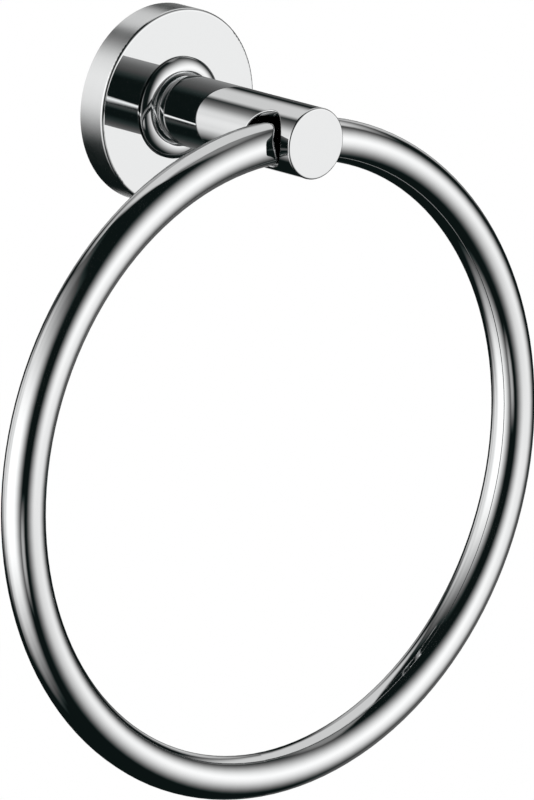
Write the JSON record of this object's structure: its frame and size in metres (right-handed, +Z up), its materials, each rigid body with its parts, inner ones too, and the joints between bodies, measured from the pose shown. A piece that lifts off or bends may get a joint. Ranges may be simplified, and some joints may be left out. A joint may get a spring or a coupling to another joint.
{
  "type": "towel ring",
  "caption": "Wall-mounted towel ring: a round chromed tube ring hangs and swings in the cross bore of a straight arm that stands on a round wall flange.",
  "frame": {"origin": "centre of the flange's back face, in the plane of the wall", "axes": "+Z up, -Y straight out from the wall along the arm, X level along the cross bore"},
  "size_m": [0.2072, 0.072, 0.2315],
  "materials": {
    "polished_chrome": "mirror-polished chrome plating on brass",
    "screw_steel": "bare stainless steel",
    "plate_steel": "matte zinc-plated steel"
  },
  "bodies": {
    "wall_bracket": {"flange": "polished_chrome", "collar": "polished_chrome", "arm": "polished_chrome", "arm_screw": "screw_steel", "flat_washer": "screw_steel", "lock_washer": "screw_steel", "mounting_plate": "plate_steel", "set_screw": "screw_steel"},
    "ring": {"towel_ring": "polished_chrome"}
  },
  "joints": [
    {"name": "ring_swing", "type": "hinge", "parent": "wall_bracket", "child": "ring", "pos_m": [0, -0.06, -0.00085], "axis": [-1, 0, 0], "range_deg": [-15.5, 195.5]}
  ]
}
